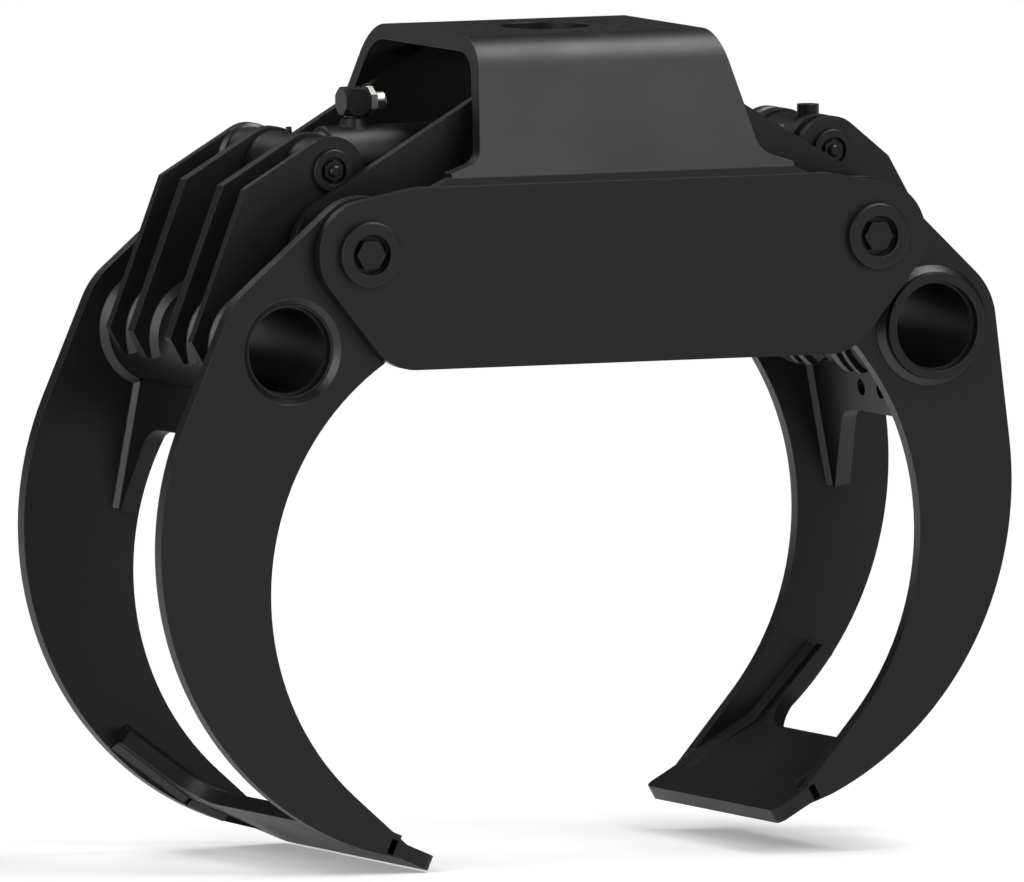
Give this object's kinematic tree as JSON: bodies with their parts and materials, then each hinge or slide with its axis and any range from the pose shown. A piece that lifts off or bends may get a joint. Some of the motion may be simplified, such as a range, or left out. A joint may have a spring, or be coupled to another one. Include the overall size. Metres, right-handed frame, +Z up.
{
  "type": "log grapple",
  "caption": "Log grapple for a crane rotator: curved plate claws with bent tips close against each other, moved by a lying hydraulic cylinder and kept in step by a link.",
  "frame": {"origin": "centre of the rotator face on top of the bracket", "axes": "+Z up out of the rotator face, +X towards the claw whose tip closes on top, -Y front"},
  "size_m": [1.2376, 0.508, 1.0797],
  "materials": {
    "black_coat": "satin black powder coat",
    "black_hardware": "black coated steel",
    "chrome": "hard chrome",
    "steel": "turned",
    "zinc": "zinc plated",
    "bronze": "bearing bronze",
    "rubber": "seal"
  },
  "bodies": {
    "frame": {"rotator_bracket": "black_coat", "outer_plate_front": "black_coat", "outer_plate_rear": "black_coat", "inner_plate_front": "black_coat", "inner_plate_rear": "black_coat", "pivot_pins": "black_hardware", "pivot_collars": "black_coat", "pivot_bolts": "black_hardware"},
    "left_claw": {"left_claw_plate_front": "black_coat", "left_claw_plate_rear": "black_coat", "left_cross_tube": "black_coat", "left_cylinder_pin": "black_hardware", "left_hub_bosses": "black_coat", "left_hub_bushes": "bronze", "left_inner_lugs": "black_coat", "left_link_pin": "black_coat", "left_outer_lugs": "black_coat", "left_pin_collars": "black_coat", "left_pin_housings": "black_coat", "left_pin_nuts": "black_hardware", "left_tip_plate": "black_coat", "left_web": "black_coat", "left_weld_beads": "black_coat"},
    "right_claw": {"right_claw_plate_front": "black_coat", "right_claw_plate_rear": "black_coat", "right_cross_tube": "black_coat", "right_cylinder_pin": "black_hardware", "right_hub_bosses": "black_coat", "right_hub_bushes": "bronze", "right_inner_lugs": "black_coat", "right_link_pin": "black_coat", "right_outer_lugs": "black_coat", "right_pin_collars": "black_coat", "right_pin_housings": "black_coat", "right_pin_nuts": "black_hardware", "right_tip_plate": "black_coat", "right_web": "black_coat", "right_weld_beads": "black_coat"},
    "cylinder_barrel": {"cylinder_barrel": "black_coat", "base_eye": "black_coat", "base_eye_bush": "bronze", "gland": "black_coat", "rod_wiper": "rubber", "port_block": "black_coat", "port_adapter": "zinc", "base_grease_nipple": "black_hardware"},
    "cylinder_rod": {"cylinder_rod": "chrome", "piston": "steel", "piston_ring": "rubber", "rod_eye": "black_coat", "rod_eye_bush": "bronze", "rod_eye_guard": "black_coat"},
    "sync_link": {"sync_link": "black_coat"}
  },
  "joints": [
    {"name": "left_claw_pivot", "type": "hinge", "parent": "frame", "child": "left_claw", "pos_m": [-0.365, 0, -0.27], "axis": [0, -1, 0], "range_deg": [-30, 26]},
    {"name": "right_claw_pivot", "type": "hinge", "parent": "frame", "child": "right_claw", "pos_m": [0.365, 0, -0.27], "axis": [0, 1, 0], "range_deg": [-30, 26]},
    {"name": "cylinder_base_pivot", "type": "hinge", "parent": "left_claw", "child": "cylinder_barrel", "pos_m": [-0.368, 0, -0.1685], "axis": [0, 1, 0], "range_deg": [-30, 26]},
    {"name": "cylinder_rod_pivot", "type": "hinge", "parent": "right_claw", "child": "cylinder_rod", "pos_m": [0.368, 0, -0.1685], "axis": [0, -1, 0], "range_deg": [-30, 26]},
    {"name": "link_pivot", "type": "hinge", "parent": "left_claw", "child": "sync_link", "pos_m": [-0.365, 0, -0.296], "axis": [0, 1, 0], "range_deg": [-30, 26]}
  ],
  "couplings": [
    {"joint": "right_claw_pivot", "follows": "left_claw_pivot", "ratio": 1},
    {"joint": "cylinder_base_pivot", "follows": "left_claw_pivot", "ratio": 1},
    {"joint": "cylinder_rod_pivot", "follows": "left_claw_pivot", "ratio": 1},
    {"joint": "link_pivot", "follows": "left_claw_pivot", "ratio": 1}
  ]
}
